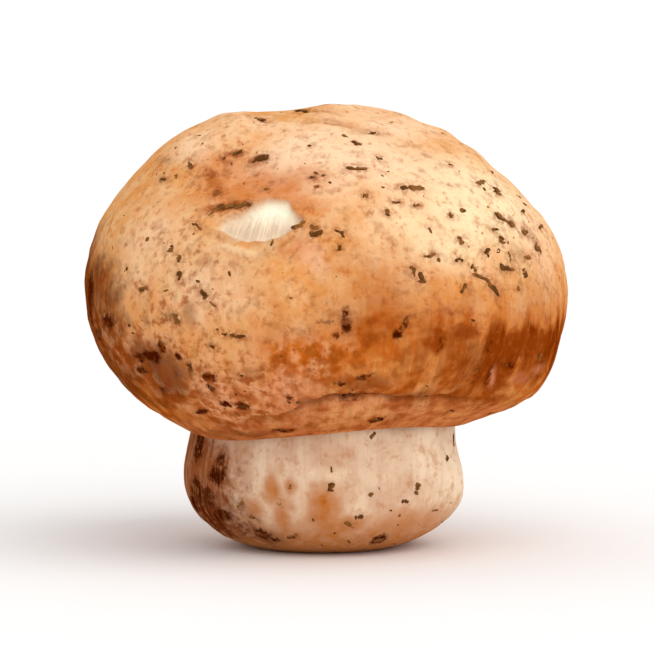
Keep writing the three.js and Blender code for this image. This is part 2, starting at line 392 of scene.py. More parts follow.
# Each line gives how strongly a mark shows, and the mark. A colour's marks on the far side come last.
CAP_COLOURS = {
    "pale_and_highlight": [
        # The first four, on the upper right facing the key light, are paler skin with a painted highlight.
        (1.0, Mark(50, 0.75, 11, 11)),
        (0.8, Mark(36, 0.67, 14, 8)),
        (0.6, Mark(28, 0.61, 12, 3.6)),
        (0.6, Mark(80, 0.74, 3.6, 11)),
        (0.28, Mark(-40, 0.58, 7, 6)),
        (0.5, Mark(150, 0.7, 17, 11)),
        (0.4, Mark(-130, 0.75, 11, 10)),
    ],
    "blush_and_highlight": [
        # The first six, on top of the crown, are pinkish skin lightened further as a painted highlight.
        (1.0, Mark(5, 0.88, 19, 6)),
        (0.7, Mark(-24, 0.95, 13, 2)),
        (0.65, Mark(75, 0.99, 6, 6)),
        (0.5, Mark(-80, 0.985, 7, 4)),
        (0.7, Mark(-58, 0.9, 4, 4)),
        (0.8, Mark(55, 0.95, 9, 5)),
        (0.5, Mark(70, 0.62, 3, 9)),
        (0.6, Mark(-3, 0.6, 4, 2, -60)),
        (0.4, Mark(-50, 0.62, 5, 9)),
        (0.5, Mark(-27, 0.5, 7, 6)),
        (0.4, Mark(-30, 0.43, 1.8, 3)),
        (0.7, Mark(-170, 0.9, 16, 4)),
    ],
    "orange": [
        # The first two lie in the crown's hollow: orange skin, darkened there as painted shade.
        (0.7, Mark(-22, 0.785, 12, 3, 4)),
        (0.5, Mark(-38, 0.81, 6, 4, 25)),
        (0.6, Mark(-8, 0.74, 5, 2.4, -20)),
        (0.35, Mark(-6, 0.62, 3.6, 2, 40)),
        (0.2, Mark(2, 0.66, 6, 3)),
        (0.25, Mark(10, 0.58, 10, 6)),
        (1.0, Mark(-6, 0.285, 7.5, 3.4, -12)),
        (0.8, Mark(8, 0.29, 10, 3.6)),
        (0.25, Mark(-15, 0.2, 9, 7)),
        (0.3, Mark(-30, 0.17, 9, 6)),
        (0.4, Mark(25, 0.28, 9, 3)),
        (0.5, Mark(-58, 0.31, 2, 5)),
        (0.5, Mark(-65, 0.47, 1.4, 3)),
        (0.5, Mark(-110, 0.3, 6, 9)),
        (0.5, Mark(140, 0.3, 12, 8)),
    ],
    # Browner skin with painted shade: the left side is darkened as though turned away from the light.
    "shade": [
        (1.0, Mark(-86, 0.39, 9, 15)),
        (1.0, Mark(-71, 0.38, 7, 12)),
        (1.0, Mark(-76, 0.22, 8, 10)),
        (0.6, Mark(-58, 0.14, 13, 5)),
        (0.5, Mark(-60, 0.42, 5, 10)),
        (0.5, Mark(-58, 0.24, 6, 5)),
        (0.45, Mark(-44, 0.4, 5, 6)),
        # Painted shadow along the bottom of the margin.
        (0.5, Mark(-32, 0.02, 12, 2)),
        (0.45, Mark(43, 0.14, 4, 3)),
        (0.5, Mark(-160, 0.3, 20, 9)),
    ],
    "dusk": [
        (0.9, Mark(-44, 0.24, 5, 3.6, -35)),
        (0.8, Mark(-50, 0.27, 3, 2.8)),
        (0.5, Mark(-33, 0.41, 1.3, 2.6)),
        # These two are painted shade along the nick's lower edge.
        (0.2, Mark(-11.5, 0.64, 5, 2, 8)),
        (0.2, Mark(-26, 0.645, 3, 1, -15)),
        (0.14, Mark(13, 0.49, 10, 7)),
        (0.14, Mark(60, 0.45, 4, 5)),
        (0.4, Mark(56, 0.58, 1.7, 1.6)),
        (0.4, Mark(65, 0.624, 1, 2.4, 40)),
        (0.3, Mark(-65, 0.85, 1.6, 1)),
        (0.5, Mark(11, 0.21, 5.4, 1.6)),
        (0.5, Mark(27, 0.165, 5, 0.8)),
        (0.4, Mark(-58, 0.44, 1, 1.6)),
        (0.6, Mark(-150, 0.35, 4.4, 3.5)),
        (0.5, Mark(118, 0.52, 1.6, 4)),
    ],
    "russet": [
        (0.9, Mark(28.8, 0.335, 1.6, 3.4)),
        (0.9, Mark(35.5, 0.362, 3.4, 1.8)),
        (0.8, Mark(45, 0.3, 1.6, 4)),
        (1.0, Mark(53, 0.3, 4.6, 3)),
        (0.9, Mark(64, 0.3, 2.4, 3)),
        (0.8, Mark(48.5, 0.24, 1.1, 6, 20)),
        (0.7, Mark(44, 0.24, 1.6, 6)),
        (0.9, Mark(53.5, 0.2, 2, 4.4)),
        (0.8, Mark(57, 0.13, 3, 1.6, 20)),
        (0.6, Mark(51, 0.13, 6, 2.6)),
        (0.6, Mark(66, 0.2, 4, 3)),
        (0.5, Mark(33, 0.42, 4, 2)),
        (0.5, Mark(20, 0.41, 3, 4)),
        (0.5, Mark(5.6, 0.385, 3.4, 3.4)),
        (0.4, Mark(18, 0.47, 2, 3)),
        (0.4, Mark(8, 0.49, 1.6, 2.4)),
        (0.4, Mark(1.5, 0.47, 2, 1.6, 40)),
        (0.7, Mark(-8, 0.2, 3.4, 1, -50)),
        (0.7, Mark(-39.5, 0.795, 2.6, 1.6, -35)),
        (0.6, Mark(-42, 0.82, 1.4, 1)),
        (0.6, Mark(-37, 0.815, 1.6, 0.8, 50)),
        (0.5, Mark(-44, 0.79, 2.6, 1, -60)),
        (0.6, Mark(-35, 0.77, 1.4, 1.4)),
        (0.7, Mark(-38.2, 0.876, 2, 0.9, 28)),
        (0.6, Mark(-42, 0.86, 1, 0.7)),
        (0.7, Mark(-29, 0.727, 6.5, 1.1, 14)),
        (0.8, Mark(-27.7, 0.862, 3, 1.1, 28)),
        (0.4, Mark(-65.4, 0.851, 1.2, 1)),
        (0.5, Mark(-58.9, 0.797, 0.8, 0.9)),
        (0.4, Mark(-35.8, 0.673, 0.7, 1.6)),
        (0.6, Mark(-26, 0.662, 2.4, 0.4, -35)),
        (0.6, Mark(-9.7, 0.628, 2.6, 0.6, 50)),
        (0.6, Mark(-7, 0.6, 2.8, 0.5, 62)),
        (0.5, Mark(-12, 0.615, 1.8, 0.4, 40)),
        (0.5, Mark(-3.4, 0.816, 1.4, 0.7)),
        (0.4, Mark(0.4, 0.822, 1.4, 0.4)),
        (0.4, Mark(-2, 0.79, 0.8, 0.5)),
        (0.4, Mark(-47, 0.262, 6.5, 4.6, -35)),
        (0.6, Mark(-66, 0.5, 1.4, 4)),
        (0.7, Mark(-62, 0.26, 2, 4)),
        (0.5, Mark(-32, 0.2, 3, 2.4)),
        (0.6, Mark(-38.4, 0.104, 2.4, 1.4)),
        (0.5, Mark(-21, 0.35, 3, 1)),
        (0.4, Mark(-2, 0.2, 3, 1.2)),
        (0.6, Mark(172, 0.62, 2.6, 3)),
        (0.6, Mark(-118, 0.4, 2, 3)),
        (0.6, Mark(128, 0.3, 3, 3)),
        (0.5, Mark(-165, 0.45, 4, 2)),
    ],
    "dark_marks": [
        (0.8, Mark(5, 0.405, 0.8, 3)),
        (0.8, Mark(5.8, 0.385, 1.2, 1.6, -30)),
        (0.75, Mark(3.1, 0.357, 1, 0.8)),
        (0.6, Mark(0.6, 0.4, 2.2, 0.7, -8)),
        (0.7, Mark(19.3, 0.385, 2.6, 0.7, 66)),
        (0.85, Mark(17.8, 0.355, 1.1, 1.3)),
        (0.5, Mark(29.4, 0.33, 1, 2.4)),
        (0.5, Mark(43.5, 0.22, 0.8, 4, 10)),
        (0.6, Mark(49.6, 0.21, 0.7, 3.4, 20)),
        (0.6, Mark(54.5, 0.24, 1.2, 1)),
        (0.5, Mark(66, 0.255, 0.9, 1.2)),
        (0.6, Mark(44, 0.31, 0.7, 2.6)),
        (0.5, Mark(29, 0.325, 0.9, 1.2)),
        (0.8, Mark(4.1, 0.209, 1.3, 0.7)),
        (0.7, Mark(7.4, 0.188, 3.6, 0.6, -12)),
        (0.8, Mark(12, 0.172, 3.4, 0.5, -8)),
        (0.7, Mark(10.3, 0.228, 2.2, 0.7, 30)),
        (0.5, Mark(27, 0.165, 3, 0.4)),
        (0.8, Mark(-9.1, 0.166, 0.8, 0.7)),
        # These three, low on the margin, are painted shadow under its edge.
        (0.9, Mark(18.4, 0.082, 2, 0.7)),
        (0.9, Mark(36, 0.047, 3, 0.5)),
        (0.7, Mark(-14, 0.045, 3, 0.6)),
        (0.9, Mark(-62.1, 0.367, 1.6, 1.8)),
        (0.7, Mark(-71, 0.32, 1.2, 2)),
        # A painted shadow streak along the left edge.
        (1.0, Mark(-76, 0.43, 1.4, 5)),
        (1.0, Mark(-48.2, 0.272, 1.6, 1.5)),
        (0.9, Mark(-43.4, 0.304, 1.3, 1.1, 50)),
        (0.9, Mark(-52.7, 0.264, 1.1, 1.2)),
        (0.8, Mark(-54, 0.222, 1.2, 1.1)),
        (0.8, Mark(-38.6, 0.275, 1, 1)),
        (0.7, Mark(-35.9, 0.242, 0.8, 2.4)),
        (0.8, Mark(-48.9, 0.17, 0.8, 0.8)),
        (1.0, Mark(-30, 0.22, 1.7, 1.1)),
        (0.9, Mark(-30.7, 0.187, 0.9, 0.9)),
        (0.9, Mark(-28.8, 0.134, 1.5, 0.7, -20)),
        (1.0, Mark(-23.5, 0.131, 1.4, 1.1)),
        (0.9, Mark(-38.4, 0.104, 1.5, 0.8, 12)),
        (0.6, Mark(-26.5, 0.1, 0.8, 0.6)),
        (0.6, Mark(172, 0.62, 1.2, 1.8)),
        (0.7, Mark(-118, 0.4, 1, 1.4)),
        (0.7, Mark(128, 0.3, 1.6, 1.2)),
    ],
    "rosy": [
        (0.7, Mark(-9, 0.17, 5, 4)),
        (0.35, Mark(-28, 0.16, 6, 4)),
        (0.9, Mark(2.6, 0.371, 0.5, 0.5)),
        (1.0, Mark(51.3, 0.206, 0.6, 2, 25)),
        (0.6, Mark(60.3, 0.19, 1.4, 1.2)),
        (0.5, Mark(-4, 0.6, 3, 2.4, -40)),
        (0.7, Mark(67.1, 0.215, 0.9, 1)),
        (0.4, Mark(-4.6, 0.185, 0.7, 1.8, -50)),
        (0.4, Mark(-8, 0.155, 2.6, 0.6, 10)),
        (0.5, Mark(8, 0.145, 6, 0.9)),
        (0.6, Mark(-128, 0.5, 1, 0.7, 20)),
    ],
}

# The lower half is caramel up to here, as (turn, up) stops, and a brown band runs below its upper edge, as
# strong at each turn as the second list says.
CARAMEL_TOP = [(-180, 0.42), (-120, 0.45), (-88, 0.56), (-72, 0.45), (-60, 0.36), (-45, 0.26), (-28, 0.14),
               (-14, 0.26), (-4, 0.37), (5, 0.43), (15, 0.46), (28, 0.445), (40, 0.42), (60, 0.4), (85, 0.41),
               (120, 0.42)]
BAND_STRENGTH = [(-180, 0.5), (-120, 0.5), (-95, 0.7), (-75, 0.4), (-60, 0.15), (-20, 0), (0, 0.05),
                 (14, 0.2), (24, 0.25), (32, 0.45), (40, 0.55), (46, 1), (60, 1), (75, 1), (90, 0.8),
                 (120, 0.5)]

# Where the most crumbs and specks lie.
SPECKLED = [
    (1.0, Mark(58, 0.62, 8, 9)),
    (0.5, Mark(35, 0.72, 13, 9)),
    (0.6, Mark(-28, 0.14, 14, 6)),
    (0.5, Mark(-40, 0.45, 12, 10)),
    (0.7, Mark(-42, 0.85, 12, 6)),
    (0.6, Mark(-140, 0.5, 18, 16)),
    (0.6, Mark(130, 0.45, 16, 16)),
]

# Crumbs that are seen one by one.
CAP_CRUMBS = [
    Mark(27.6, 0.786, 2.3, 0.6, -3), Mark(11.3, 0.84, 1.9, 0.45, 3), Mark(56.5, 0.677, 2.3, 0.7, -25),
    Mark(42.5, 0.509, 3.4, 0.6, -44), Mark(39.1, 0.545, 0.8, 0.5, -40), Mark(24.1, 0.524, 0.9, 1.1),
    Mark(22.3, 0.545, 0.4, 1.3, 10), Mark(35.1, 0.488, 1, 0.55, 40), Mark(49.7, 0.537, 1.4, 0.7),
    Mark(52, 0.572, 0.3, 0.9), Mark(27, 0.587, 1.3, 0.45), Mark(35.1, 0.575, 0.9, 0.45),
    Mark(37.1, 0.629, 0.7, 0.8), Mark(44.6, 0.594, 0.7, 0.6, 40), Mark(51.1, 0.621, 0.7, 0.8),
    Mark(50, 0.655, 0.6, 0.4), Mark(58.1, 0.789, 0.9, 0.6), Mark(62.1, 0.759, 0.8, 1),
    Mark(66.3, 0.583, 0.7, 1.3, 30), Mark(64, 0.637, 0.7, 0.7), Mark(58.9, 0.563, 0.7, 0.6),
    Mark(76, 0.643, 0.7, 0.5), Mark(74, 0.81, 0.5, 0.5), Mark(37.1, 0.702, 0.5, 0.6),
    Mark(17.8, 0.715, 0.6, 0.7), Mark(12.4, 0.766, 0.6, 0.6), Mark(22.3, 0.867, 0.6, 0.5),
    Mark(21.2, 0.743, 0.9, 0.35), Mark(27, 0.733, 0.7, 0.4), Mark(51.9, 0.842, 0.4, 0.4),
    Mark(-3.6, 0.816, 0.5, 0.4), Mark(0, 0.823, 0.4, 0.3), Mark(-2, 0.791, 0.5, 0.3),
    Mark(32.6, 0.933, 1.1, 0.4), Mark(-6.7, 0.676, 1.5, 0.5, 25), Mark(-2.6, 0.674, 0.9, 0.5, -10),
    Mark(-2.2, 0.652, 1.4, 0.9, 5), Mark(4.6, 0.66, 1.2, 0.45, -45), Mark(4.1, 0.616, 0.5, 0.6),
    Mark(-32, 0.722, 2.6, 0.6, 36), Mark(-25.6, 0.733, 2.1, 0.7, 3), Mark(-22.7, 0.735, 0.8, 0.6),
    Mark(-38.2, 0.876, 1.6, 0.45, 28), Mark(-27.7, 0.862, 2.1, 0.65, 28), Mark(-51.8, 0.844, 0.7, 0.5, -45),
    Mark(-42, 0.862, 0.5, 0.4), Mark(-35, 0.765, 0.5, 0.6), Mark(-49.5, 0.973, 1.6, 0.7),
    Mark(-50, 0.993, 1.4, 0.4), Mark(-58.9, 0.797, 0.5, 0.5), Mark(-35.8, 0.673, 0.4, 1.1, 75),
    Mark(-37.7, 0.575, 0.7, 0.8), Mark(-36.4, 0.524, 0.5, 0.9), Mark(-47.5, 0.478, 0.8, 0.7),
    Mark(-29.4, 0.474, 1, 0.7, -40), Mark(-27, 0.447, 0.9, 0.3, -40), Mark(-37.1, 0.394, 0.7, 1),
    Mark(-27.6, 0.316, 0.5, 0.4), Mark(-20.8, 0.35, 1.7, 0.5, -5), Mark(-24, 0.355, 0.6, 0.3),
    Mark(-30.7, 0.187, 0.4, 0.5, -30), Mark(-23.5, 0.131, 0.7, 0.4), Mark(18.4, 0.082, 1, 0.3),
    Mark(66, 0.255, 0.5, 0.8),
]
STEM_CRUMBS = [
    Mark(3.2, 0.486, 0.8, 0.9), Mark(3.2, 0.6, 0.3, 0.6), Mark(41.9, 0.448, 0.7, 1.3),
    Mark(36, 0.373, 0.8, 0.6), Mark(21.4, 0.812, 0.8, 0.6, 50), Mark(15.1, 0.284, 0.9, 0.6, 10),
    Mark(11, 0.228, 0.8, 0.5, -20), Mark(29.6, 0.107, 0.9, 0.8), Mark(78.2, 0.711, 0.3, 1.2),
    Mark(64, 0.619, 0.5, 0.6), Mark(58, 0.28, 0.7, 0.3, -10), Mark(-36.8, 0.353, 0.9, 0.5, 25),
    Mark(-16, 0.138, 0.6, 0.4), Mark(-32.7, 0.265, 0.6, 0.5), Mark(-13.8, 0.49, 0.4, 0.5),
]

STEM_COLOURS = {
    "brown": [
        (1.0, Mark(-76, 0.5, 5, 13)),
        (1.0, Mark(-60, 0.46, 4.4, 11)),
        (1.0, Mark(-49, 0.55, 2.6, 4.4)),
        (0.8, Mark(-46, 0.5, 3.4, 9)),
        (0.55, Mark(-38, 0.5, 4.4, 10)),
        (0.6, Mark(-66, 0.7, 1.6, 5)),
        (0.7, Mark(-60, 0.3, 5, 5)),
        (0.45, Mark(-40, 0.22, 7, 3.6, -12)),
        (0.6, Mark(150, 0.3, 10, 6)),
        (0.5, Mark(-150, 0.6, 8, 6)),
    ],
    "maroon": [
        (1.0, Mark(-62, 0.23, 5, 4.4, -25)),
        (0.5, Mark(-42, 0.22, 5, 3.6, -20)),
        (0.6, Mark(-34, 0.14, 5, 2.4, -12)),
        (0.7, Mark(-105, 0.2, 5, 3)),
    ],
    "rust": [
        (0.8, Mark(1, 0.33, 3.6, 6)),
        (1.0, Mark(0.5, 0.36, 2, 3.4)),
        (0.5, Mark(1, 0.22, 2.6, 2.6)),
        (0.8, Mark(-21.4, 0.46, 1.6, 3)),
        (0.7, Mark(-13.8, 0.487, 1.4, 1.6)),
        (0.7, Mark(-18, 0.3, 1.6, 4)),
        (0.7, Mark(-30, 0.33, 2, 2)),
        (0.5, Mark(36, 0.235, 6.5, 2.8, 6)),
        (0.4, Mark(52, 0.25, 5, 2.4, 8)),
        (0.8, Mark(11.5, 0.228, 3, 1.8)),
        (0.5, Mark(98, 0.4, 1.2, 3)),
        (0.5, Mark(170, 0.5, 2, 5)),
    ],
    "dark_marks": [
        (1.0, Mark(-49.1, 0.52, 2.2, 1.8)),
        (0.8, Mark(-48, 0.63, 1, 1.6)),
        (1.0, Mark(-68, 0.7, 1.1, 3)),
        (1.0, Mark(-57, 0.37, 1.6, 2.2)),
        (1.0, Mark(-65, 0.4, 1.6, 3)),
        (0.9, Mark(-72, 0.3, 1.2, 2)),
        (1.0, Mark(-50, 0.27, 1.8, 1.4)),
        (1.0, Mark(-31.2, 0.147, 1.9, 1.5)),
        (0.8, Mark(-26, 0.11, 1.4, 0.7)),
        (0.6, Mark(-32.7, 0.27, 1.1, 0.8)),
        (0.7, Mark(-41, 0.2, 1, 0.8)),
        (1.0, Mark(29.6, 0.107, 1.5, 1.6)),
        (0.5, Mark(11.5, 0.228, 1.4, 0.8)),
        (0.4, Mark(0, 0.41, 0.8, 1)),
        (0.4, Mark(-14.2, 0.49, 0.9, 1.2)),
        (0.4, Mark(-18.6, 0.37, 0.7, 2.4)),
        (0.5, Mark(-36.5, 0.36, 1.4, 1.1, 25)),
        (0.5, Mark(-14.5, 0.145, 1.2, 0.8)),
    ],
    "cream": [
        (0.9, Mark(74, 0.5, 3.6, 8)),
        (0.9, Mark(51, 0.66, 3, 6)),
        (0.6, Mark(72, 0.33, 2.4, 3)),
        (0.8, Mark(0, 0.57, 3.4, 1.6)),
        (0.5, Mark(-8.5, 0.55, 1.8, 8)),
        (0.4, Mark(-20, 0.6, 5, 2)),
        (0.5, Mark(120, 0.6, 5, 7)),
    ],
}


def grain_of(skin, squeeze):
    """Coordinates in millimetres that hardly change along a meridian, so that noise in them makes fibres."""
    steps = np.linalg.norm(np.diff(skin.points, axis=0, prepend=skin.points[:1]), axis=-1) / MM
    down = np.cumsum(steps, axis=0).mean(axis=1)
    radius = skin.high.x / MM
    grid = np.ones(skin.up.shape)
    around = radius * np.sin(skin.turns) * grid, -radius * np.cos(skin.turns) * grid
    return np.stack([*around, down[:, None] * squeeze * grid], axis=-1)


def paint_cap():
    masks = {name: cap.covered_by(marks, soft=0.7, ragged=0.3) for name, marks in CAP_COLOURS.items()}
    grain = grain_of(cap, 0.1)
    streaks = layered_noise(grain, 2.6, SEED + 100, 3)
    below = interpolate(cap.turn, CARAMEL_TOP) + 0.07 * streaks - cap.up
    band = smooth(below, 0.045, 0.1) * (1 - smooth(below, 0.14, 0.27))
    crumbs = [(1, mark._replace(wide=mark.wide + 0.8, high=mark.high + 0.6)) for mark in CAP_CRUMBS]
    crease_up = interpolate(cap.turn, CREASE)
    return masks | {
        "grain": grain,
        "caramel": 0.35 * smooth(below, -0.16, 0) + 0.65 * smooth(below, -0.03, 0.08),
        "band": band * interpolate(cap.turn, BAND_STRENGTH),
        "margin": 1 - smooth(cap.up - crease_up, -0.015, 0.01),
        "speckled": 0.3 + cap.covered_by(SPECKLED, soft=0.8),
        "dirt": cap.covered_by(crumbs, soft=0.8),
    }


def paint_stem():
    masks = {name: stem.covered_by(marks, soft=0.7, ragged=0.3) for name, marks in STEM_COLOURS.items()}
    uneven = stem.up + 0.06 * noise(stem.points, 2.5 * MM, SEED + 120)
    return masks | {"grain": grain_of(stem, 0.12), "soiled": 1 - smooth(uneven, 0.06, 0.36)}


# ---- Meshes


def ring_faces(rows, columns, first=0):
    """Quads between rings of points that follow each other."""
    index = first + np.arange(rows * columns).reshape(rows, columns)
    right = np.roll(index, -1, axis=1)
    return np.stack([index[:-1], index[1:], right[1:], right[:-1]], axis=-1).reshape(-1, 4)


def skin_object(name, skin, more_rings, masks, material):
    """The skin, and any rings that follow its last one, closed at both ends with a point."""
    rings = np.concatenate([skin.points, more_rings])
    rows, columns = rings.shape[:2]
    ends = np.array([rings[0].mean(0), rings[-1].mean(0)])
    points = np.concatenate([rings.reshape(-1, 3), ends])
    mesh = bpy.data.meshes.new(name)
    quads = ring_faces(rows, columns).tolist()
    first, last = np.arange(columns), np.arange(columns) + (rows - 1) * columns
    top = np.stack([np.roll(first, -1), np.full(columns, rows * columns), first], axis=-1)
    bottom = np.stack([last, np.full(columns, rows * columns + 1), np.roll(last, -1)], axis=-1)
    mesh.from_pydata(points.tolist(), [], quads + top.tolist() + bottom.tolist())
    mesh.polygons.foreach_set("use_smooth", np.ones(len(mesh.polygons), bool))
    for key, values in masks.items():
        per_ring = np.concatenate([values, np.repeat(values[-1:], len(more_rings), axis=0)])
        flat = np.concatenate([per_ring.reshape(rows * columns, -1), per_ring[0, :1].reshape(1, -1),
                               per_ring[-1, :1].reshape(1, -1)])
        if flat.shape[1] == 3:
            mesh.attributes.new(key, "FLOAT_VECTOR", "POINT").data.foreach_set("vector", flat.ravel())
        else:
            mesh.attributes.new(key, "FLOAT", "POINT").data.foreach_set("value", flat.ravel())
    mesh.materials.append(material)
    made = bpy.data.objects.new(name, mesh)
    bpy.context.scene.collection.objects.link(made)
    return made


# ---- Materials


def srgb(red, green, blue):
    """The linear colour of these sRGB numbers from 0 to 255."""
    def linear(value):
        share = value / 255
        return share / 12.92 if share <= 0.04045 else ((share + 0.055) / 1.055) ** 2.4

    return linear(red), linear(green), linear(blue), 1


class Wiring:
    """Short calls that wire up a material. Patterns are laid out in millimetres."""

    def __init__(self, name):
        self.material = bpy.data.materials.new(name)
        self.material.use_nodes = True
        self.tree = self.material.node_tree
        self.shader = self.tree.nodes["Principled BSDF"]
        place = self.node("ShaderNodeTexCoord").outputs["Object"]
        scaled = self.node("ShaderNodeVectorMath", {0: place, 1: (1 / MM,) * 3}, operation="MULTIPLY")
        self.place = scaled.outputs[0]

    def node(self, kind, inputs=None, **settings):
        made = self.tree.nodes.new(kind)
        for key, value in settings.items():
            setattr(made, key, value)
        for key, value in (inputs or {}).items():
            self.feed(made.inputs[key], value)
        return made

    def feed(self, socket, value):
        if isinstance(value, bpy.types.NodeSocket):
            self.tree.links.new(value, socket)
        else:
            socket.default_value = value

    def paint(self, share, colour, first=None):
        """Lays a share of a colour over what is painted so far, or over the first colour."""
        under = first or self.painted
        made = self.tree.nodes.new("ShaderNodeMix")
        made.data_type = "RGBA"
        sockets = {socket.identifier: socket for socket in (*made.inputs, *made.outputs)}
        self.feed(sockets["Factor_Float"], share)
        self.feed(sockets["A_Color"], under)
        self.feed(sockets["B_Color"], colour)
        self.painted = sockets["Result_Color"]
        self.feed(self.shader.inputs["Base Color"], self.painted)

    def mask(self, name):
        return self.node("ShaderNodeAttribute", attribute_name=name).outputs["Fac"]

    def vector(self, name):
        return self.node("ShaderNodeAttribute", attribute_name=name).outputs["Vector"]

    def noise(self, size, detail=3, roughness=0.55, distortion=0, at=None):
        """Noise whose largest shapes are about that many millimetres across."""
        inputs = {"Vector": at or self.place, "Scale": 1 / size, "Detail": detail}
        inputs |= {"Roughness": roughness, "Distortion": distortion}
        return self.node("ShaderNodeTexNoise", inputs).outputs["Fac"]

    def step(self, value, low, high, out_low=0, out_high=1):
        """Goes smoothly from out_low to out_high as value goes from low to high."""
        inputs = {"Value": value, "From Min": low, "From Max": high, "To Min": out_low, "To Max": out_high}
        return self.node("ShaderNodeMapRange", inputs, interpolation_type="SMOOTHSTEP").outputs["Result"]

    def math(self, operation, first, second):
        return self.node("ShaderNodeMath", {0: first, 1: second}, operation=operation).outputs[0]

    def times(self, *values):
        total = values[0]
        for value in values[1:]:
            total = self.math("MULTIPLY", total, value)
        return total

    def plus(self, *values):
        total = values[0]
        for value in values[1:]:
            total = self.math("ADD", total, value)
        return total

    def uneven(self, name, texture, amount):
        """A mask that is stronger where the texture is high."""
        return self.times(self.mask(name), self.plus(self.times(self.plus(texture, -0.5), amount), 1))

    def frayed(self, name, texture, amount):
        """A mask with a soft edge that follows the texture."""
        mask = self.mask(name)
        edge = self.plus(mask, self.times(self.plus(texture, -0.5), amount))
        return self.times(self.step(edge, 0.25, 0.9), self.step(mask, 0, 0.2))

    def ridges(self, size):
        """Sharp ridges about that many millimetres apart, from 0 to 1."""
        inputs = {"Vector": self.place, "Scale": 1 / size, "Detail": 3, "Roughness": 0.6}
        texture = self.node("ShaderNodeTexNoise", inputs, noise_type="RIDGED_MULTIFRACTAL").outputs["Fac"]
        return self.step(texture, 0.8, 1.8)

    def bump(self, height, strength, distance):
        inputs = {"Strength": strength, "Distance": distance * MM, "Height": height}
        self.feed(self.shader.inputs["Normal"], self.node("ShaderNodeBump", inputs).outputs[0])

    def surface(self, roughness, shine=0):
        self.feed(self.shader.inputs["Roughness"], roughness)
        self.shader.inputs["Specular IOR Level"].default_value = shine

    def soak(self, share, reach):
        """Lets light soak in, as many millimetres deep as reach gives for red, green and blue."""
        self.shader.inputs["Subsurface Weight"].default_value = share
        self.shader.inputs["Subsurface Radius"].default_value = [depth * MM for depth in reach]
        self.shader.inputs["Subsurface Scale"].default_value = 1

    def specks(self, spacing, radius, share):
        """Round dots of up to that radius, in a share of cells that are spacing millimetres apart."""
        inputs = {"Vector": self.place, "Scale": 1 / spacing, "Randomness": 1}
        cells = self.node("ShaderNodeTexVoronoi", inputs, feature="F1")
        colour = self.node("ShaderNodeSeparateColor", {0: cells.outputs["Color"]})
        chosen = self.step(colour.outputs[0], share, share - 0.02)
        size = self.step(colour.outputs[1], 0, 1, 0.4 * radius / spacing, radius / spacing)
        inside = self.math("SUBTRACT", size, cells.outputs["Distance"])
        return self.times(self.step(inside, 0, 0.06), chosen)


PALE = srgb(253, 223, 178)
BLUSH = srgb(252, 212, 172)
TAN = srgb(226, 156, 88)
ORANGE = srgb(206, 108, 32)
CARAMEL = srgb(190, 98, 34)
BROWN = srgb(122, 44, 0)
RUSSET = srgb(140, 58, 8)
SHADE = srgb(104, 48, 10)
DUSK = srgb(98, 46, 26)
UMBER = srgb(68, 17, 0)
ROSE = srgb(200, 122, 78)
ROSY = srgb(222, 142, 100)
SCALE_TIP = srgb(238, 174, 126)
FLESH = srgb(255, 252, 226)
PINK_FLESH = srgb(250, 222, 190)
SHADOWED_FLESH = srgb(214, 188, 160)
STEM = srgb(214, 176, 146)
CREAM = srgb(244, 222, 192)
MAROON = srgb(96, 34, 6)
EARTH = srgb(140, 74, 34)
SOIL = srgb(190, 122, 70)
RUST = srgb(186, 106, 34)
PEAT = srgb(92, 54, 18)
LIGHT_PEAT = srgb(140, 90, 42)


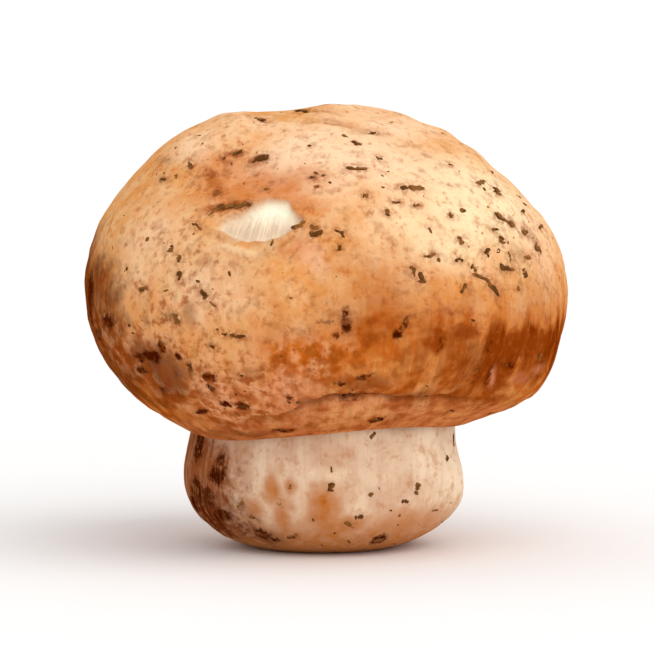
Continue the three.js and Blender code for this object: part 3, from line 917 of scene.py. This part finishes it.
def cap_material():
    coat = Wiring("cap_skin")
    grain = coat.vector("grain")
    fibres = coat.noise(0.5, detail=4, roughness=0.6, at=grain)
    streaks = coat.noise(1.1, detail=4, roughness=0.65, at=grain)
    patches = coat.noise(5, detail=4, roughness=0.6, distortion=0.6)
    mottle = coat.noise(2.6, detail=5, roughness=0.6)
    clouds = coat.noise(1.5, detail=2)
    pores = coat.noise(0.9, detail=4, roughness=0.65)
    grit = coat.noise(0.5, detail=3, roughness=0.6)
    ridges = coat.ridges(2.4)
    low = coat.plus(coat.times(coat.mask("caramel"), 0.8), 0.12)

    coat.paint(coat.step(mottle, 0.3, 0.7, 0, 0.4), PALE, TAN)
    coat.paint(coat.step(clouds, 0.42, 0.75, 0, 0.4), ORANGE)
    # Paler skin, with a painted highlight on the upper right.
    coat.paint(coat.uneven("pale_and_highlight", mottle, 0.6), PALE)
    # Pinkish skin, lightened on the crown's top as a painted highlight.
    coat.paint(coat.uneven("blush_and_highlight", mottle, 0.6), BLUSH)
    coat.paint(coat.uneven("caramel", mottle, 0.6), CARAMEL)
    # Orange skin; in the crown's hollow it also stands for painted shade.
    coat.paint(coat.uneven("orange", clouds, 0.9), ORANGE)
    coat.paint(coat.times(coat.mask("margin"), 0.5), ROSE)
    coat.paint(coat.times(low, coat.step(patches, 0.5, 0.62), 0.5), TAN)
    coat.paint(coat.times(low, coat.step(patches, 0.47, 0.34), 0.3), SHADE)
    coat.paint(coat.times(low, coat.step(clouds, 0.45, 0.75), 0.5), TAN)
    coat.paint(coat.times(low, coat.step(clouds, 0.52, 0.26), 0.5), RUSSET)
    # Browner skin with painted shade on the left side and along the margin's bottom.
    coat.paint(coat.times(coat.frayed("shade", mottle, 1.4), coat.step(fibres, 0.3, 0.65, 0.7, 0.95)), SHADE)
    coat.paint(coat.uneven("band", streaks, 4), BROWN)
    coat.paint(coat.times(coat.frayed("russet", pores, 1.4), 0.8), RUSSET)
    coat.paint(coat.times(coat.mask("scaly"), coat.step(clouds, 0.42, 0.64), 0.8), SCALE_TIP)
    coat.paint(coat.times(coat.mask("scaly"), coat.step(pores, 0.52, 0.36), 0.85), RUSSET)
    coat.paint(coat.times(coat.mask("scaly"), ridges, 0.85), RUSSET)
    # Dusky brown blotches, and painted shade along the nick's lower edge.
    coat.paint(coat.times(coat.uneven("dusk", clouds, 1.6), 0.85), DUSK)
    # Painted shade along the valley's groove.
    coat.paint(coat.times(coat.mask("valley"), 0.25), BROWN)
    # Painted shade in the crease under the overhang.
    coat.paint(coat.times(coat.uneven("crease", clouds, 1.5), 0.8), SHADE)
    coat.paint(coat.times(coat.mask("dirt"), coat.step(grit, 0.4, 0.6), 0.6), RUSSET)
    coat.paint(coat.times(coat.uneven("rosy", pores, 1), 0.7), ROSY)
    # Dark stains, with painted shadow under the margin's edge and along the left edge.
    coat.paint(coat.frayed("dark_marks", grit, 1.4), UMBER)
    dots = coat.plus(coat.specks(1.7, 0.26, 0.4), coat.specks(0.9, 0.16, 0.35))
    coat.paint(coat.times(dots, coat.mask("speckled"), 0.6), RUSSET)
    coat.paint(coat.times(low, coat.step(fibres, 0.6, 0.3), 0.22), SHADE)
    coat.paint(coat.step(clouds, 0.5, 0.22, 0, 0.4), RUSSET)
    coat.paint(coat.step(pores, 0.5, 0.26, 0, 0.5), CARAMEL)
    coat.paint(coat.step(pores, 0.44, 0.24, 0, 0.25), SHADE)
    # Painted shade in a ring just inside the nick's rim, also darkening the skin's broken edge.
    coat.paint(coat.times(coat.mask("torn_edge_and_shade"), 0.35), BROWN)
    coat.paint(coat.uneven("flesh", pores, 0.8), PINK_FLESH)
    coat.paint(coat.times(coat.mask("flesh"), coat.mask("core")), FLESH)
    # Painted shadow over the flesh in the nick's lower part.
    coat.paint(coat.times(coat.mask("flesh"), coat.mask("nick_shadow"), coat.step(fibres, 0.2, 0.6)), SHADOWED_FLESH)
    # A painted highlight along the fold's raised top.
    coat.paint(coat.times(coat.mask("fold"), 0.4), PALE)

    crinkle = coat.times(coat.mask("scaly"), ridges, -2)
    height = coat.plus(coat.times(low, fibres, 0.5), coat.times(grit, 0.5), coat.times(pores, 1.6), crinkle)
    coat.bump(height, 0.8, 0.2)
    coat.surface(coat.step(grit, 0.3, 0.7, 0.5, 0.7))
    coat.soak(0.1, (1.2, 0.5, 0.25))
    return coat.material


def stem_material():
    coat = Wiring("stem_flesh")
    grain = coat.vector("grain")
    fibres = coat.noise(0.6, detail=4, roughness=0.6, at=grain)
    patches = coat.noise(5, detail=4, roughness=0.6)
    mottle = coat.noise(2, detail=4, roughness=0.6)
    pores = coat.noise(0.9, detail=4, roughness=0.65)
    grit = coat.noise(0.4, detail=3, roughness=0.6)

    coat.paint(coat.step(patches, 0.4, 0.62, 0, 0.5), CREAM, STEM)
    coat.paint(coat.uneven("cream", mottle, 0.6), CREAM)
    coat.paint(coat.uneven("soiled", pores, 1.6), SOIL)
    coat.paint(coat.uneven("rust", mottle, 1), RUST)
    coat.paint(coat.step(mottle, 0.48, 0.3, 0, 0.5), SOIL)
    coat.paint(coat.times(coat.frayed("brown", pores, 1), coat.step(fibres, 0.3, 0.6, 0.75, 1)), EARTH)
    coat.paint(coat.uneven("maroon", pores, 2), MAROON)
    coat.paint(coat.frayed("dark_marks", grit, 1.4), UMBER)
    coat.paint(coat.step(fibres, 0.55, 0.3, 0, 0.2), SOIL)
    coat.paint(coat.step(pores, 0.48, 0.3, 0, 0.45), SOIL)
    coat.paint(coat.times(coat.specks(1.8, 0.2, 0.3), 0.6), BROWN)

    coat.bump(coat.plus(coat.times(fibres, 0.6), coat.times(grit, 0.4), coat.times(pores, 0.8)), 0.6, 0.15)
    coat.surface(coat.step(grit, 0.3, 0.7, 0.6, 0.8))
    coat.soak(0.15, (1.5, 0.8, 0.5))
    return coat.material


def peat_material():
    coat = Wiring("peat")
    coat.paint(coat.step(coat.noise(1.2, detail=4), 0.4, 0.62), LIGHT_PEAT, PEAT)
    coat.bump(coat.noise(0.2, detail=3), 0.8, 0.1)
    coat.surface(0.9, shine=0.1)
    return coat.material


# ---- The pieces

# The socket's rings, as shares of the lip's reach: two on its wall and one on its ceiling.
SOCKET_REACH = (0.985, 0.985, 0.5)
SOCKET_START = 0.3 * MM  # over the lip
SOCKET_TOPS = (STEM_TOP - 1 * MM, STEM_TOP + 0.5 * MM)


def socket_rings():
    """Rings that follow the cap's lip, up the wall of its socket and over the socket's ceiling."""
    lip = cap.points[-1]
    rings = np.repeat(lip[None], len(SOCKET_REACH), axis=0)
    rings[..., :2] *= np.array(SOCKET_REACH)[:, None, None]
    rings[0, :, 2] = lip[:, 2] + SOCKET_START
    rings[1:, :, 2] = np.array(SOCKET_TOPS)[:, None]
    return rings


cap_piece = skin_object("mushroom_cap", cap, socket_rings(), cap_masks | paint_cap(), cap_material())
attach(cap_piece, "root")
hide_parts("cap")

no_rings = np.empty((0, STEM_COLUMNS, 3))
stem_piece = skin_object("mushroom_stem", stem, no_rings, paint_stem(), stem_material())
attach(stem_piece, "root")
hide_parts("stem")

# ---- Crumbs of peat

CLUMP_LENGTH = 0.6  # scattered crumbs longer than this many millimetres are clumps


class Crumbs:
    """Collects small irregular lumps in one mesh."""

    def __init__(self, random):
        ball = bmesh.new()
        bmesh.ops.create_icosphere(ball, subdivisions=2, radius=1)
        self.ball = np.array([vertex.co for vertex in ball.verts])
        self.ball_faces = np.array([[vertex.index for vertex in face.verts] for face in ball.faces])
        ball.free()
        self.random = random
        self.points = []
        self.faces = []

    def add(self, skin, mark, shift=0):
        """One lump, half sunk in the skin. shift moves it along its mark by that many millimetres."""
        middle, directions, (wide, high) = skin.place(mark)
        count = len(self.points)
        dents = layered_noise(self.ball + 7.3 * count, 0.9, SEED + 130, 3)
        lump = self.ball * (1 + 0.5 * dents)[:, None]
        lump[:, 1] += self.random.uniform(-0.4, 0.4) * lump[:, 0] ** 2
        lump *= (wide / 2, high / 2, 0.45 * min(wide, high) / 2)
        lump[:, 0] += shift
        self.points.append(middle + lump @ directions * MM)
        self.faces.append(self.ball_faces + count * len(self.ball))

    def add_clump(self, skin, mark):
        """Three lumps that overlap along the longer way of a mark."""
        if mark.high > mark.wide:
            mark = mark._replace(wide=mark.high, high=mark.wide, lean=mark.lean + 90)
        for share in (-0.3, 0.05, 0.32):
            part = mark._replace(
                wide=mark.wide * self.random.uniform(0.3, 0.55),
                high=mark.high * self.random.uniform(0.5, 0.9),
                lean=mark.lean + self.random.uniform(-25, 25),
            )
            self.add(skin, part, share * skin.place(mark)[2][0])

    def scatter(self, skin, count, density, least, spread):
        """Crumbs as long as least and, on average, spread more. Most lie where the density is high."""
        rows, columns = density.shape
        while count:
            row, column = self.random.integers(rows), self.random.integers(columns)
            # Near the axis the points lie closer together, so each has a smaller chance.
            chance = density[row, column] * np.linalg.norm(skin.points[row, column, :2]) / skin.high.x
            if self.random.random() < chance:
                length = least + self.random.exponential(spread)
                mark = Mark(skin.turn[row, column], skin.up[row, column], length,
                            length * self.random.uniform(0.35, 0.9), self.random.uniform(-90, 90))
                add = self.add_clump if length > CLUMP_LENGTH else self.add
                add(skin, mark)
                count -= 1

    def build(self, name, material):
        mesh = bpy.data.meshes.new(name)
        mesh.from_pydata(np.concatenate(self.points).tolist(), [], np.concatenate(self.faces).tolist())
        mesh.polygons.foreach_set("use_smooth", np.ones(len(mesh.polygons), bool))
        mesh.materials.append(material)
        made = bpy.data.objects.new(name, mesh)
        bpy.context.scene.collection.objects.link(made)
        return made


crumbs = Crumbs(np.random.default_rng(SEED))
for mark in CAP_CRUMBS:
    crumbs.add_clump(cap, mark)
for mark in STEM_CRUMBS:
    crumbs.add_clump(stem, mark)
off_the_nick = 1 - smooth(cap_masks["flesh"], 0, 0.1)
where_speckled = off_the_nick * (0.25 + cap.covered_by(SPECKLED, soft=0.8))
low_on_stem = smooth(stem.up, 0.02, 0.05) * (1 - smooth(stem.up, 0.3, 0.85))
far_side = smooth(np.abs(cap.turn), 95, 110) * smooth(cap.up, 0.05, 0.2)
crumbs.scatter(cap, count=170, density=where_speckled, least=0.18, spread=0.14)
crumbs.scatter(stem, count=50, density=low_on_stem, least=0.18, spread=0.14)
crumbs.scatter(cap, count=26, density=far_side, least=0.7, spread=0.5)
peat_piece = crumbs.build("peat_crumbs", peat_material())
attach(peat_piece, "root")

# ---- Floor, light and camera


def floor_material():
    coat = Wiring("floor")
    coat.paint(coat.noise(400, detail=2), srgb(250, 250, 250), srgb(246, 246, 246))
    coat.surface(0.9, shine=0.1)
    return coat.material


FLOOR_REACH = 8  # metres to each side
FLOOR_DROP = 0.02 * MM

floor_mesh = bpy.data.meshes.new("floor")
corners = [(x * FLOOR_REACH, y * FLOOR_REACH, -FLOOR_DROP) for x, y in ((-1, -1), (1, -1), (1, 1), (-1, 1))]
floor_mesh.from_pydata(corners, [], [(0, 1, 2, 3)])
floor_mesh.materials.append(floor_material())
floor = bpy.data.objects.new("floor", floor_mesh)
bpy.context.scene.collection.objects.link(floor)

low, high = cad_bounds
middle = (Vector(low) + Vector(high)) / 2
width = high[0] - low[0]


def aimed(made, place, target):
    made.location = place
    made.rotation_euler = (Vector(target) - Vector(place)).to_track_quat("-Z", "Y").to_euler()
    bpy.context.scene.collection.objects.link(made)
    return made


def sun(name, place, spread, strength, colour):
    """A sun whose light comes from place. spread is how wide it looks, in degrees."""
    light = bpy.data.lights.new(name, "SUN")
    light.angle = math.radians(spread)
    light.energy = strength
    light.color = colour
    return aimed(bpy.data.objects.new(name, light), place, middle)


sun("key", (0.65, -0.75, 1.05), spread=80, strength=1.35, colour=(1, 0.97, 0.93))

world = bpy.data.worlds.new("studio")
world.use_nodes = True
world.node_tree.nodes["Background"].inputs["Color"].default_value = (1, 1, 1, 1)
world.node_tree.nodes["Background"].inputs["Strength"].default_value = 0.8
bpy.context.scene.world = world
bpy.context.scene.view_settings.view_transform = "Standard"

camera_data = bpy.data.cameras.new("camera")
camera_data.sensor_width = 36
camera_data.lens = camera_data.sensor_width * CAMERA_DISTANCE * MUSHROOM_SHARE / width
camera_data.clip_start = 0.01
camera_data.clip_end = 50
back = Vector((0, -math.cos(CAMERA_RISE), math.sin(CAMERA_RISE))) * CAMERA_DISTANCE
camera = aimed(bpy.data.objects.new("camera", camera_data), middle + back, middle)
bpy.context.scene.camera = camera
